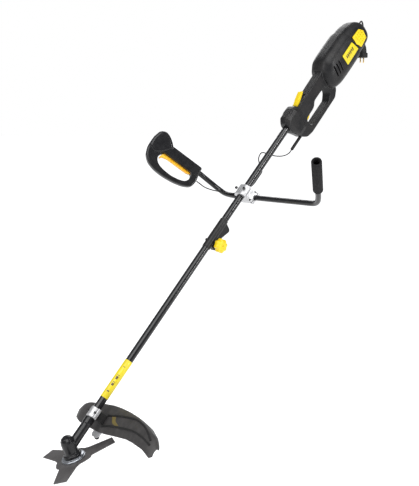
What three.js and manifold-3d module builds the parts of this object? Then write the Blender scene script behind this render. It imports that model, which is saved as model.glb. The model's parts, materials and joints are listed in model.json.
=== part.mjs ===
// A corded electric brush cutter held in its working position.
// Millimetres, +Z up. The origin is on the drive tube's axis, above the handlebar's middle.
// Most parts are drawn in the tool frame: +X runs up the drive tube to the motor,
// +Y is the operator's right and +Z is the tool's upper side.
import * as THREE from 'three';
import { mergeVertices } from 'three/addons/utils/BufferGeometryUtils.js';
import Module from 'manifold-3d';

const wasm = await Module();
wasm.setup();

const DEG = Math.PI / 180;
const GAP = 0.3;

// Attitude of the tool and of its gear head.
const TUBE_TILT = 46 * DEG;
const SPINDLE_TILT = 28.5 * DEG;
const GRIP_SPLAY = 30 * DEG;

// Drive tube.
const TUBE_R = 12;
const TUBE_WALL = 1.5;
const TUBE_BORE = TUBE_R + GAP;
const DRIVE_R = 3.5;
const UPPER_TUBE = [-168, 392];
const LOWER_TUBE = [-935, -168.5];

// Gear head, measured along the spindle from the blade. It sits a little rolled about the tube.
const HEAD_ROLL = -7.8 * DEG;
const GEAR_CENTRE_X = -985;
const AXES_HEIGHT = 34;
const WHEEL_TEETH = 20;
const PINION_TEETH = 12;
const PINION_ANGLE = Math.atan2(Math.cos(SPINDLE_TILT), WHEEL_TEETH / PINION_TEETH - Math.sin(SPINDLE_TILT));
const SPINDLE_R = 5;
const BLADE_R = 127.5;
const BLADE_THICK = 2.4;
const BLADE_TURN = -17;
const FLANGE_R = 36;

// Guard: a plate parallel to the tube, under it, with a skirt down its outer edge.
const GUARD_X = -871;
const GUARD_Z = -45;
const GUARD_THICK = 3.5;
const GUARD_SKIRT = 30;
const GUARD_CLAMP = [-880, -848];
const GUARD_SCREW_Y = 9;

// Handlebar.
const BAR_R = 9;
const BAR_WALL = 1.5;
const BAR_Z = -26;
const FOAM_R = 15.5;
const FOAM_LENGTH = 150;
const LEFT_GRIP_FOOT = [0, -355, 42];
const RIGHT_GRIP_FOOT = [16, 192, 70];

// Coupler.
const COUPLER = [-238, -122];
const KNOB_X = -206;
const KNOB_Z = -25;
const BUTTON_X = -216;

// Motor and rear handle.
const SHELL_WALL = 3;
const HANDLE_HALF_WIDTH = 18;
const NOSE_HALF_WIDTH = 23;
const MOTOR_Z = -7;
const MOTOR_SHAFT_R = 5;
const BEARING_R = 13;
const STATOR_R = 42;
const SHELL_END = 712;

const COLOURS = {
  plastic: [0x1b1b1d, 0.5, 0],
  gloss: [0x101012, 0.28, 0],
  yellow: [0xf0cf12, 0.45, 0],
  steel: [0x8d9094, 0.35, 0.9],
  blade: [0x46454a, 0.5, 0.7],
  cast: [0x9b9da1, 0.45, 0.8],
  tube: [0x0c0c0e, 0.22, 0.2],
  rubber: [0x18181a, 0.85, 0],
  foam: [0x222224, 0.95, 0],
  guard: [0x4b4a4d, 0.6, 0],
  copper: [0xb06a3a, 0.4, 0.8],
  brass: [0xc9a45a, 0.35, 0.9],
};

// ---- helpers -----------------------------------------------------------

function signedVolume(geometry) {
  const p = geometry.attributes.position;
  const index = geometry.index;
  const a = new THREE.Vector3();
  const b = new THREE.Vector3();
  const c = new THREE.Vector3();
  let volume = 0;
  for (let i = 0; i < index.count; i += 3) {
    a.fromBufferAttribute(p, index.getX(i));
    b.fromBufferAttribute(p, index.getX(i + 1));
    c.fromBufferAttribute(p, index.getX(i + 2));
    volume += a.dot(b.cross(c)) / 6;
  }
  return volume;
}

// Position-only copy with shared vertices and outward faces.
function tidy(geometry) {
  const bare = new THREE.BufferGeometry();
  bare.setAttribute('position', geometry.attributes.position.clone());
  if (geometry.index) bare.setIndex(geometry.index.clone());
  const merged = mergeVertices(bare, 1e-4);
  const kept = [];
  const source = merged.index.array;
  for (let i = 0; i < source.length; i += 3) {
    const [a, b, c] = [source[i], source[i + 1], source[i + 2]];
    if (a !== b && b !== c && c !== a) kept.push(a, b, c);
  }
  merged.setIndex(kept);
  if (signedVolume(merged) < 0) {
    for (let i = 0; i < kept.length; i += 3) {
      [kept[i + 1], kept[i + 2]] = [kept[i + 2], kept[i + 1]];
    }
    merged.setIndex(kept);
  }
  return merged;
}

function solid(geometry) {
  const shape = tidy(geometry);
  return new wasm.Manifold(new wasm.Mesh({
    numProp: 3,
    vertProperties: new Float32Array(shape.attributes.position.array),
    triVerts: new Uint32Array(shape.index.array),
  }));
}

function geometryOf(manifold) {
  const mesh = manifold.getMesh();
  const geometry = new THREE.BufferGeometry();
  geometry.setAttribute('position', new THREE.BufferAttribute(new Float32Array(mesh.vertProperties), 3));
  geometry.setIndex(new THREE.BufferAttribute(new Uint32Array(mesh.triVerts), 1));
  return geometry;
}

function material(kind) {
  const [color, roughness, metalness] = COLOURS[kind];
  return new THREE.MeshStandardMaterial({ color, roughness, metalness });
}

function add(group, name, shape, kind) {
  const geometry = shape.isBufferGeometry ? tidy(shape) : geometryOf(shape);
  geometry.computeVertexNormals();
  const mesh = new THREE.Mesh(geometry, material(kind));
  mesh.name = name;
  group.add(mesh);
}

function box(x, y, z) {
  const geometry = new THREE.BoxGeometry(x[1] - x[0], y[1] - y[0], z[1] - z[0]);
  geometry.translate((x[0] + x[1]) / 2, (y[0] + y[1]) / 2, (z[0] + z[1]) / 2);
  return geometry;
}

// Turned shape about X, from [x, radius] pairs.
function turnedX(profile, sides = 24) {
  const points = profile.map(([x, r]) => new THREE.Vector2(r, x));
  const geometry = new THREE.LatheGeometry(points, sides);
  geometry.rotateZ(-Math.PI / 2);
  return geometry;
}

// Turned shape about Z, from [z, radius] pairs.
function turnedZ(profile, sides = 24) {
  const geometry = turnedX(profile, sides);
  geometry.rotateY(-Math.PI / 2);
  return geometry;
}

function rodX([from, to], radius, sides = 24) {
  return turnedX([[from, 0], [from, radius], [to, radius], [to, 0]], sides);
}

function rodZ([from, to], radius, sides = 24) {
  return turnedZ([[from, 0], [from, radius], [to, radius], [to, 0]], sides);
}

function rodY([from, to], radius, sides = 24) {
  const geometry = rodX([from, to], radius, sides);
  geometry.rotateZ(Math.PI / 2);
  return geometry;
}

function tubeX([from, to], outer, inner, sides = 24) {
  return turnedX([[from, inner], [from, outer], [to, outer], [to, inner], [from, inner]], sides);
}

function tubeZ([from, to], outer, inner, sides = 24) {
  return turnedZ([[from, inner], [from, outer], [to, outer], [to, inner], [from, inner]], sides);
}

function outline(points) {
  return new THREE.Shape(points.map(([a, b]) => new THREE.Vector2(a, b)));
}

// Outline in X and Z, pulled along Y about the middle plane.
function slabY(shape, halfWidth, bevel = 0) {
  const geometry = new THREE.ExtrudeGeometry(shape, {
    depth: 2 * (halfWidth - bevel),
    bevelEnabled: bevel > 0,
    bevelSize: bevel,
    bevelThickness: bevel,
    bevelOffset: -bevel,
    bevelSegments: 2,
    curveSegments: 6,
  });
  geometry.translate(0, 0, bevel - halfWidth);
  geometry.rotateX(Math.PI / 2);
  return geometry;
}

// Outline in X and Y, pulled along Z.
function slabZ(shape, [from, to], curveSegments = 8) {
  const geometry = new THREE.ExtrudeGeometry(shape, { depth: to - from, bevelEnabled: false, curveSegments });
  geometry.translate(0, 0, from);
  return geometry;
}

// Body through rounded rectangles set across X: [x, centre z, half width, half height].
function lofted(sections, roundness, count = 24) {
  const positions = [];
  const index = [];
  for (const [x, z, halfWidth, halfHeight] of sections) {
    for (let i = 0; i < count; i += 1) {
      const t = (i + 0.5) * 2 * Math.PI / count;
      const c = Math.cos(t);
      const s = Math.sin(t);
      const y = halfWidth * Math.sign(c) * Math.abs(c) ** (2 / roundness);
      positions.push(x, y, z + halfHeight * Math.sign(s) * Math.abs(s) ** (2 / roundness));
    }
  }
  const last = (sections.length - 1) * count;
  for (let ring = 0; ring < last; ring += count) {
    for (let i = 0; i < count; i += 1) {
      const j = (i + 1) % count;
      index.push(ring + i, ring + j, ring + count + i, ring + j, ring + count + j, ring + count + i);
    }
  }
  for (let i = 1; i < count - 1; i += 1) {
    index.push(0, i + 1, i, last, last + i, last + i + 1);
  }
  const geometry = new THREE.BufferGeometry();
  geometry.setAttribute('position', new THREE.Float32BufferAttribute(positions, 3));
  geometry.setIndex(index);
  return geometry;
}

function alongPath(points, radius, sides, steps, innerRadius = 0) {
  const curve = new THREE.CatmullRomCurve3(points.map((p) => new THREE.Vector3(...p)), false, 'centripetal');
  const ring = (r) => Array.from({ length: sides }, (_, i) => {
    const t = i * 2 * Math.PI / sides;
    return new THREE.Vector2(r * Math.cos(t), r * Math.sin(t));
  });
  const shape = new THREE.Shape(ring(radius));
  if (innerRadius > 0) shape.holes.push(new THREE.Path(ring(innerRadius)));
  return new THREE.ExtrudeGeometry(shape, { steps, bevelEnabled: false, extrudePath: curve });
}

function cut(base, ...tools) {
  return tools.reduce((left, tool) => left.subtract(solid(tool)), base);
}

function joined(...geometries) {
  return geometries.slice(1).reduce((left, g) => left.add(solid(g)), solid(geometries[0]));
}

const BIG = 2000;
function halfSpaceY(side) {
  const range = side < 0 ? [-BIG, -GAP / 2] : [GAP / 2, BIG];
  return solid(box([-BIG, BIG], range, [-BIG, BIG]));
}

function frame(parent, position, axis, angle) {
  const group = new THREE.Group();
  group.position.set(...position);
  group.rotation[axis] = angle;
  parent.add(group);
  return group;
}

// ---- motor and rear handle ----------------------------------------------

const MOTOR_SECTIONS = [
  [534, -20, 35, 30],
  [546, -14, 46, 45],
  [574, -9, 53, 56],
  [602, MOTOR_Z, 55, 60],
  [SHELL_END, MOTOR_Z, 55, 59],
];
const CAP_SECTIONS = [
  [SHELL_END + GAP, MOTOR_Z, 53, 55],
  [752, MOTOR_Z - 1, 52, 53],
  [784, MOTOR_Z - 5, 46, 44],
  [804, MOTOR_Z - 8, 37, 33],
  [813, MOTOR_Z - 9, 28, 24],
];
const MOTOR_ROUNDNESS = 3.4;
const FRONT_BEARING = [562, 572];
const REAR_BEARING = [724, 734];

function shrunk(sections, wall) {
  return sections.map(([x, z, w, h]) => [x, z, w - wall, h - wall]);
}

function handleOutline() {
  const shape = outline([
    [290, 4], [298, 28], [330, 39], [362, 37], [370, 23], [436, 24], [530, 27], [562, 30],
    [566, -50], [556, -76], [532, -92], [362, -93], [332, -86], [314, -66], [296, -20],
  ]);
  shape.holes.push(outline([
    [372, -62], [382, -73], [500, -74], [520, -56], [526, -34], [515, -21], [446, -20],
    [430, -34], [420, -38], [380, -40], [373, -50],
  ]));
  return shape;
}

function handleCavity() {
  return outline([
    [394, 19], [530, 22], [530, -14], [450, -15], [434, -29], [394, -33],
  ]);
}

function rearBody() {
  const nose = outline([
    [288, 2], [296, 28], [330, 40], [360, 38], [366, 20], [372, -40], [366, -66], [318, -62], [296, -22],
  ]);
  let body = joined(
    slabY(handleOutline(), HANDLE_HALF_WIDTH, 5),
    slabY(nose, NOSE_HALF_WIDTH, 6),
    lofted(MOTOR_SECTIONS, MOTOR_ROUNDNESS),
  );
  const room = shrunk(MOTOR_SECTIONS, SHELL_WALL);
  room[0] = [540, -19, 30, 26];
  room[room.length - 1][0] = SHELL_END + 1;
  body = body.subtract(solid(lofted(room, MOTOR_ROUNDNESS)));
  const skin = solid(lofted(MOTOR_SECTIONS, MOTOR_ROUNDNESS));
  const bulkhead = solid(rodX([FRONT_BEARING[0], FRONT_BEARING[1]], 90)).intersect(skin);
  const ring = solid(tubeX([640, 648], 90, STATOR_R + GAP, 32)).intersect(skin);
  body = body.add(bulkhead).add(ring);
  body = cut(
    body,
    rodX([FRONT_BEARING[0] - 1, FRONT_BEARING[1] + 1], BEARING_R + GAP),
    rodX([270, 394], TUBE_BORE),
    slabY(handleCavity(), 13),
    rodX([525, 545], 11),
    box([374, 430], [-7.5, 7.5], [-60, -24]),
    box([368, 434], [-9.5, 9.5], [17, 60]),
    box([312, 332], [-8, 8], [-76, -64]),
  );
  for (let i = 0; i < 3; i += 1) {
    const slot = box([576 + 14 * i, 580 + 14 * i], [-90, 90], [-25, 18]);
    body = cut(body, slot);
  }
  return body;
}

function rearCap() {
  const room = shrunk(CAP_SECTIONS, SHELL_WALL);
  room[0][0] -= 2;
  room[room.length - 1][0] -= SHELL_WALL;
  const skin = solid(lofted(CAP_SECTIONS, MOTOR_ROUNDNESS));
  const seat = solid(tubeX([REAR_BEARING[0], REAR_BEARING[1]], 90, BEARING_R + GAP)).intersect(skin);
  return cut(
    skin.subtract(solid(lofted(room, MOTOR_ROUNDNESS))).add(seat),
    box([716, 776], [-70, -51], [-38, 26]),
    box([716, 776], [51, 70], [-38, 26]),
    rodX([790, 830], 6.3).translate(0, 12, -16),
  );
}

function sideVent(side) {
  const shape = outline([[718, 23], [762, 21], [774, 2], [770, -26], [722, -34]]);
  let panel = solid(slabY(shape, 1.5));
  for (let row = 0; row < 3; row += 1) {
    for (let column = 0; column < 3; column += 1) {
      const hole = rodY([-3, 3], 2.2, 8);
      hole.translate(733 + 12 * column, 0, 10 - 14 * row);
      panel = cut(panel, hole);
    }
  }
  return panel.translate(0, side * 53, 0);
}

function fan() {
  const blades = [];
  for (let i = 0; i < 9; i += 1) {
    const blade = box([588.5, 602], [14, 38], [-1.2, 1.2]);
    blade.rotateX(i * 40 * DEG);
    blades.push(blade);
  }
  const disc = tubeX([586, 589], 39, MOTOR_SHAFT_R + GAP, 24);
  const hub = tubeX([584, 600], 15, MOTOR_SHAFT_R + GAP, 24);
  return joined(disc, hub, ...blades);
}

function buildMotor(tool) {
  const body = rearBody();
  add(tool, 'body_shell_left', body.intersect(halfSpaceY(-1)), 'plastic');
  add(tool, 'body_shell_right', body.intersect(halfSpaceY(1)), 'plastic');
  add(tool, 'rear_cap', rearCap(), 'plastic');
  add(tool, 'side_vent_left', sideVent(-1), 'yellow');
  add(tool, 'side_vent_right', sideVent(1), 'yellow');
  add(tool, 'rating_plate', box([628, 706], [-56.3, -55.3], [-26, 15]), 'yellow');
  add(tool, 'stator_stack', tubeX([612, 680], STATOR_R, 25, 32), 'steel');
  const inner = MOTOR_SHAFT_R + GAP;
  add(tool, 'rotor', turnedX([[614, inner], [614, 23.5], [678, 23.5], [684, 13], [706, 13], [706, inner],
    [614, inner]]), 'copper');
  add(tool, 'motor_shaft', rodX([548, 742], MOTOR_SHAFT_R, 16), 'steel');
  add(tool, 'cooling_fan', fan(), 'plastic');
  add(tool, 'front_bearing', tubeX([562.2, 571.8], BEARING_R, MOTOR_SHAFT_R + GAP), 'steel');
  add(tool, 'rear_bearing', tubeX([724.2, 733.8], BEARING_R, MOTOR_SHAFT_R + GAP), 'steel');
  add(tool, 'trigger_switch', box([396, 424], [-8, 8], [-22, -8]), 'rubber');
}

function buildTriggers(tool) {
  const trigger = slabY(outline([
    [424, -31], [420, -41], [404, -45], [392, -52], [382, -53],
    [378, -48], [382, -41], [392, -36], [400, -27], [420, -25],
  ]), 6.8);
  add(tool, 'trigger', trigger, 'yellow');
  const lockOff = slabY(outline([
    [372, 21], [382, 20], [398, 24], [424, 34], [430, 36], [431, 40], [426, 42], [400, 36], [376, 27],
  ]), 8.8);
  add(tool, 'lock_off_lever', solid(lockOff), 'yellow');
}

// ---- drive tube ---------------------------------------------------------

function buildTube(tool) {
  add(tool, 'upper_tube', tubeX(UPPER_TUBE, TUBE_R, TUBE_R - TUBE_WALL), 'tube');
  const buttonHole = rodZ([5, 20], 5.3, 12);
  buttonHole.translate(BUTTON_X, 0, 0);
  add(tool, 'lower_tube', cut(solid(tubeX(LOWER_TUBE, TUBE_R, TUBE_R - TUBE_WALL)), buttonHole), 'tube');
  add(tool, 'upper_drive_shaft', rodX([-160, 531], DRIVE_R, 12), 'steel');
  add(tool, 'lower_drive_shaft', rodX([-936, -160.4], DRIVE_R, 12), 'steel');
  const drive = tubeX([531.4, 547.6], 8, 0.6, 16);
  add(tool, 'drive_coupling', drive, 'steel');
  add(tool, 'drive_bush', tubeX([-560, -544], TUBE_R - TUBE_WALL - GAP, DRIVE_R + GAP, 16), 'brass');
  add(tool, 'shaft_sticker', tubeX([-812, -680], TUBE_R + 0.7, TUBE_BORE, 24), 'yellow');
}

function knobOutline() {
  const lobes = new THREE.Shape();
  const count = 48;
  for (let i = 0; i < count; i += 1) {
    const t = i * 2 * Math.PI / count;
    const r = 22.5 + 1.8 * Math.cos(8 * t);
    if (i === 0) lobes.moveTo(r, 0);
    else lobes.lineTo(r * Math.cos(t), r * Math.sin(t));
  }
  return lobes;
}

// Sleeve with a keel underneath, which the knob's screw draws together from the left side.
function buildCoupler(tool) {
  const keel = outline([
    [-224, -5], [-222, -33], [-190, -33], [-178, -24], [-150, -36], [-140, -28], [-132, -5],
  ]);
  const stud = rodY([-BIG, 10], 4.3, 12).translate(KNOB_X, 0, KNOB_Z);
  const press = rodZ([5, BIG], 5.3, 12).translate(BUTTON_X, 0, 0);
  const body = joined(rodX(COUPLER, 14.6), slabY(keel, 10));
  add(tool, 'coupler_body', cut(body, rodX([-300, 0], TUBE_BORE), stud, press), 'plastic');
  const grip = slabY(knobOutline(), 11, 4);
  grip.translate(0, -29, 0);
  const knob = joined(grip, rodY([-20, -15.2], 9, 16), rodY([-20, 8], 4, 12));
  add(tool, 'coupler_knob', knob.translate(KNOB_X, 0, KNOB_Z), 'yellow');
  add(tool, 'locating_button', rodZ([9.5, 19], 5, 12).translate(BUTTON_X, 0, 0), 'rubber');
}

// ---- handlebar ----------------------------------------------------------

function slabX(shape, halfWidth) {
  const geometry = new THREE.ExtrudeGeometry(shape, { depth: 2 * halfWidth, bevelEnabled: false });
  geometry.translate(0, 0, -halfWidth);
  geometry.rotateY(Math.PI / 2);
  geometry.rotateX(Math.PI / 2);
  return geometry;
}

const CAP_BOLT_Y = 18.5;

function buildClamp(tool) {
  const tubeBore = rodX([-60, 60], TUBE_BORE);
  const barBore = rodY([-60, 60], BAR_R + GAP);
  barBore.translate(0, 0, BAR_Z);
  const capBolts = [-1, 1].map((side) => {
    const hole = rodZ([-15, 40], 2.8, 12);
    hole.translate(0, side * CAP_BOLT_Y, 0);
    return hole;
  });
  const cap = slabX(outline([[-25, 0.5], [-25, 7], [-13, 18], [13, 18], [25, 7], [25, 0.5]]), 22);
  add(tool, 'clamp_cap', cut(solid(cap), tubeBore, ...capBolts), 'cast');
  const middle = slabX(outline([[-26, 0], [-26, -10], [-38, -20], [-38, BAR_Z + 0.5], [38, BAR_Z + 0.5],
    [38, -20], [26, -10], [26, 0]]), 22);
  add(tool, 'clamp_middle', cut(solid(middle), tubeBore, barBore, ...capBolts), 'cast');
  const base = slabX(outline([[-40, BAR_Z], [-40, -34], [-24, -41], [24, -41], [40, -34], [40, BAR_Z]]), 22);
  add(tool, 'clamp_base', cut(solid(base), barBore), 'cast');
  [-1, 1].forEach((side, i) => {
    const capBolt = joined(rodZ([-14, 19], 2.5, 12), rodZ([18.4, 24], 4.8, 12));
    add(tool, `cap_bolt_${i + 1}`, capBolt.translate(0, side * CAP_BOLT_Y, 0), 'steel');
  });
}

function gripPoint(foot, side, distance) {
  const out = side * distance * Math.sin(GRIP_SPLAY);
  const up = distance * Math.cos(GRIP_SPLAY);
  return [foot[0], foot[1] + out, foot[2] + up];
}

function buildBars(tool) {
  const left = [
    [0, -0.4, BAR_Z], [0, -120, BAR_Z], [0, -270, BAR_Z], [0, -298, BAR_Z + 1], [0, -319, BAR_Z + 13],
    [0, -334, BAR_Z + 34], gripPoint(LEFT_GRIP_FOOT, -1, 10), gripPoint(LEFT_GRIP_FOOT, -1, 146),
  ];
  add(tool, 'left_bar', alongPath(left, BAR_R, 12, 20, BAR_R - BAR_WALL), 'tube');
  const right = [
    [0, 0.4, BAR_Z], [0, 20, BAR_Z], [0, 42, BAR_Z], [0, 60, BAR_Z],
    [4, 110, BAR_Z + 3], [11, 142, BAR_Z + 16], [15, 166, BAR_Z + 46],
    gripPoint(RIGHT_GRIP_FOOT, 1, -12), gripPoint(RIGHT_GRIP_FOOT, 1, 8), gripPoint(RIGHT_GRIP_FOOT, 1, 100),
  ];
  add(tool, 'right_bar', alongPath(right, BAR_R, 12, 18, BAR_R - BAR_WALL), 'tube');
  const leftGrip = frame(tool, LEFT_GRIP_FOOT, 'x', GRIP_SPLAY);
  const foam = tubeZ([0, FOAM_LENGTH], FOAM_R, BAR_R + GAP, 24);
  const mouth = turnedZ([[FOAM_LENGTH - 6, 0], [FOAM_LENGTH - 6, BAR_R + GAP], [FOAM_LENGTH - 2, 12],
    [FOAM_LENGTH + 1, 12], [FOAM_LENGTH + 1, 0]]);
  add(leftGrip, 'foam_grip', cut(solid(foam), mouth), 'foam');
}

function gripOutline() {
  const shape = outline([
    [16, -6], [16, 116], [26, 128], [40, 146], [46, 170], [34, 186], [0, 193], [-34, 191], [-66, 178],
    [-84, 156], [-92, 126], [-93, 92], [-88, 50], [-78, 14], [-62, -12], [-34, -16], [-8, -9],
  ]);
  shape.holes.push(outline([
    [-22, 12], [-42, 8], [-60, 16], [-69, 36], [-75, 66],
    [-74, 100], [-68, 124], [-56, 138], [-40, 142], [-22, 136],
  ]));
  return shape;
}

function gripBody() {
  const grip = outline([[16, -6], [16, 118], [4, 134], [-22, 136], [-22, 0], [-10, -8]]);
  const hood = outline([
    [12, 116], [26, 128], [40, 146], [46, 170], [34, 186], [0, 193], [-30, 190], [-40, 158], [-22, 140],
  ]);
  const body = joined(slabY(gripOutline(), 11, 4), slabY(grip, 17, 5), slabY(hood, 20, 6));
  return cut(
    body,
    rodZ([-40, 106], BAR_R + GAP),
    box([-40, -12.5], [-6, 6], [14, 148]),
    box([-12.6, 6], [-9, 9], [112, 138]),
  );
}

function buildControlGrip(tool) {
  const grip = frame(tool, RIGHT_GRIP_FOOT, 'x', -GRIP_SPLAY);
  const body = gripBody();
  add(grip, 'control_grip_outer', body.intersect(halfSpaceY(1)), 'gloss');
  add(grip, 'control_grip_inner', body.intersect(halfSpaceY(-1)), 'gloss');
  const lever = slabY(outline([
    [-14, 17], [-24, 15], [-31, 26], [-32, 110], [-37, 128],
    [-46, 134], [-44, 137], [-28, 134], [-18, 124], [-17, 60],
  ]), 5.6);
  add(grip, 'grip_lever', lever, 'yellow');
  add(grip, 'grip_switch', box([-12, 5], [-8, 8], [113, 136]), 'rubber');
}

// ---- gear head and blade --------------------------------------------------

const CONE_DISTANCES = [19, 13];
const TOOTH = [[-0.29, -1.4], [-0.11, 0.9], [0.11, 0.9], [0.29, -1.4]];

// Straight bevel gear with its apex at the origin, opening along +Z.
// Each tooth point is [part of a pitch, height above the pitch cone].
function bevelGear(teeth, pitchAngle, hubLength) {
  const positions = [];
  const index = [];
  const count = teeth * TOOTH.length;
  const [s, c] = [Math.sin(pitchAngle), Math.cos(pitchAngle)];
  for (const distance of CONE_DISTANCES) {
    for (let tooth = 0; tooth < teeth; tooth += 1) {
      for (const [part, height] of TOOTH) {
        const t = (tooth + part) * 2 * Math.PI / teeth;
        const rise = height * distance / CONE_DISTANCES[0];
        const r = distance * s + rise * c;
        positions.push(r * Math.cos(t), r * Math.sin(t), distance * c - rise * s);
      }
    }
  }
  positions.push(0, 0, CONE_DISTANCES[0] * c + hubLength, 0, 0, CONE_DISTANCES[1] * c);
  for (let i = 0; i < count; i += 1) {
    const j = (i + 1) % count;
    index.push(i, j, count + i, j, count + j, count + i);
    index.push(2 * count, j, i, 2 * count + 1, count + i, count + j);
  }
  const geometry = new THREE.BufferGeometry();
  geometry.setAttribute('position', new THREE.Float32BufferAttribute(positions, 3));
  geometry.setIndex(index);
  return geometry;
}

const TOOTH_CORNERS = [
  [58, -50], [60, -40], [57, -31], [BLADE_R, -8.2], [BLADE_R, 10.3], [62, 27], [52, 40], [54, 52],
];

function bladeOutline() {
  const points = [];
  for (let k = 0; k < 3; k += 1) {
    const turn = k * 120;
    for (const [r, angle] of TOOTH_CORNERS) {
      const t = (angle + turn) * DEG;
      points.push([r * Math.cos(t), r * Math.sin(t)]);
    }
  }
  return outline(points);
}

function gearHousing() {
  const barrel = turnedZ([
    [11, 0], [11, 28], [18, 27.5], [23, 23.8], [54, 23.2], [64, 19.5], [71, 12], [75, 0],
  ]);
  const neck = rodX([0, 103], 15.2);
  neck.rotateY(-SPINDLE_TILT);
  neck.translate(0, 0, AXES_HEIGHT);
  const room = turnedZ([[9, 0], [9, 20.8], [54, 20.4], [62, 15], [65, 0]]);
  const bore = joined(rodX([49.2, 120], TUBE_BORE), rodX([0, 60], 9.2));
  const turned = bore.rotate([0, -SPINDLE_TILT / DEG, 0]).translate(0, 0, AXES_HEIGHT);
  return joined(barrel, neck).subtract(solid(room)).subtract(turned);
}

function buildGearHead(lower) {
  const origin = [
    GEAR_CENTRE_X - AXES_HEIGHT * Math.sin(SPINDLE_TILT), 0, -AXES_HEIGHT * Math.cos(SPINDLE_TILT),
  ];
  const head = frame(lower, origin, 'y', SPINDLE_TILT);
  add(head, 'gear_housing', gearHousing(), 'gloss');
  add(head, 'spindle', joined(rodZ([-17, 31], SPINDLE_R, 16), rodZ([13.6, 20], 9, 16)), 'steel');
  add(head, 'spindle_bearing', tubeZ([20.3, 27], 20, SPINDLE_R + GAP, 20), 'steel');
  const wheel = bevelGear(WHEEL_TEETH, Math.PI / 2 + SPINDLE_TILT - PINION_ANGLE, 3.5);
  wheel.rotateX(Math.PI);
  wheel.translate(0, 0, AXES_HEIGHT);
  add(head, 'bevel_wheel', cut(solid(wheel), rodZ([20, 40], SPINDLE_R + GAP)), 'steel');
  add(head, 'upper_flange', joined(tubeZ([1.6, 5], FLANGE_R, SPINDLE_R + GAP, 32),
    tubeZ([5, 10], FLANGE_R - 3, SPINDLE_R + GAP, 32)), 'steel');
  const disc = slabZ(bladeOutline(), [-BLADE_THICK / 2, BLADE_THICK / 2]);
  const blade = cut(solid(disc), rodZ([-5, 5], SPINDLE_R + GAP));
  add(head, 'blade', blade.rotate([0, 0, BLADE_TURN]), 'blade');
  const bore = SPINDLE_R + GAP;
  const washer = turnedZ([[-1.6, bore], [-1.6, 28], [-4, 28], [-8, 20], [-8, bore], [-1.6, bore]]);
  add(head, 'lower_washer', washer, 'steel');
  add(head, 'blade_nut', cut(solid(rodZ([-16, -8.4], 9.5, 6)), rodZ([-20, 0], SPINDLE_R + GAP, 16)), 'steel');
}

function buildPinion(lower) {
  const pinion = bevelGear(PINION_TEETH, PINION_ANGLE, 4);
  pinion.rotateZ(Math.PI / PINION_TEETH);
  pinion.rotateY(Math.PI / 2);
  pinion.translate(GEAR_CENTRE_X, 0, 0);
  const stem = rodX([GEAR_CENTRE_X + 16, -936.5], 3.5, 12);
  add(lower, 'pinion', joined(pinion, stem), 'steel');
}

// ---- guard ----------------------------------------------------------------

// Edges in plan, from the right end to the left end.
const GUARD_OUTER = [
  [20, 182], [36, 166], [44, 132], [50, 90], [56, 45], [61, 0], [62, -45], [60, -100], [55, -151],
  [44, -206], [27, -250], [2, -284],
];
const GUARD_INNER = [
  [2, 184], [-16, 168], [-27, 120], [-30, 60], [-31, 0], [-29, -44], [-23, -96], [-17, -159], [-18, -200],
  [-22, -245], [-34, -276],
];
const GUARD_RIBS = [
  [[26, -20], [29, -33], [37, -76], [46, -140], [46, -172], [40, -206], [24, -246]],
  [[-10, -20], [-2, -55], [6, -111], [10, -175], [8, -222], [-2, -262]],
];

// The same polyline a distance to one side, square to its neighbours' line.
function offset(points, distance) {
  return points.map(([x, y], i) => {
    const [x0, y0] = points[Math.max(i - 1, 0)];
    const [x1, y1] = points[Math.min(i + 1, points.length - 1)];
    const length = Math.hypot(x1 - x0, y1 - y0);
    return [x + distance * (y1 - y0) / length, y - distance * (x1 - x0) / length];
  });
}

function strip(points, width) {
  return outline([...points, ...offset(points, width).reverse()]);
}

function buildGuard(lower) {
  const guard = frame(lower, [GUARD_X, 0, GUARD_Z], 'x', 0);
  const body = joined(
    slabZ(outline([...GUARD_OUTER, ...[...GUARD_INNER].reverse()]), [0, GUARD_THICK]),
    slabZ(strip(GUARD_OUTER, 4), [-GUARD_SKIRT, GUARD_THICK]),
    ...GUARD_RIBS.map((points) => slabZ(strip(points, 4), [1, GUARD_THICK + 5])),
  );
  const plate = solid(box([-48, 22], [-24, 24], [-3.3, -GAP]));
  const holes = [-1, 1].map((side) => rodZ([-20, 20], 3.3, 12).translate(7, side * GUARD_SCREW_Y, 0));
  add(guard, 'guard', cut(body, ...holes), 'guard');
  add(guard, 'guard_bracket', cut(plate, ...holes), 'cast');
  [-1, 1].forEach((side, i) => {
    const screw = joined(rodZ([-5, 20], 3, 12), rodZ([-8, -3.6], 5.5, 6));
    add(guard, `guard_screw_${i + 1}`, screw.translate(7, side * GUARD_SCREW_Y, 0), 'steel');
  });
}

const CLAMP_BOLT_Y = 19.8;

// Two halves round the tube; the lower one stands on the guard.
function buildGuardClamp(lower) {
  const foot = box(GUARD_CLAMP, [-15, 15], [GUARD_Z + GUARD_THICK + GAP, -8]);
  const ring = solid(rodX(GUARD_CLAMP, 15.6)).add(solid(box(GUARD_CLAMP, [-24.5, 24.5], [-6, 6])));
  const bolts = [-1, 1].map((side) => rodZ([-12, 40], 2.9, 12).translate(-864, side * CLAMP_BOLT_Y, 0));
  const screws = [-1, 1].map((side) => {
    const hole = rodZ([-60, -22], 3.3, 12);
    return hole.translate(GUARD_X + 7, side * GUARD_SCREW_Y, 0);
  });
  const half = (from, to) => solid(box([-BIG, 0], [-BIG, BIG], [from, to]));
  const bore = rodX([-900, -800], TUBE_BORE);
  add(lower, 'guard_clamp_upper', cut(ring.intersect(half(0.5, 60)), bore, ...bolts), 'cast');
  const base = ring.intersect(half(-60, -0.5)).add(solid(foot));
  add(lower, 'guard_clamp_lower', cut(base, bore, ...bolts, ...screws), 'cast');
  [-1, 1].forEach((side, i) => {
    const bolt = joined(rodZ([-11, 8], 2.6, 12), rodZ([6.4, 11], 4, 6));
    add(lower, `guard_clamp_bolt_${i + 1}`, bolt.translate(-864, side * CLAMP_BOLT_Y, 0), 'steel');
  });
}

// ---- cables ----------------------------------------------------------------

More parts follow.
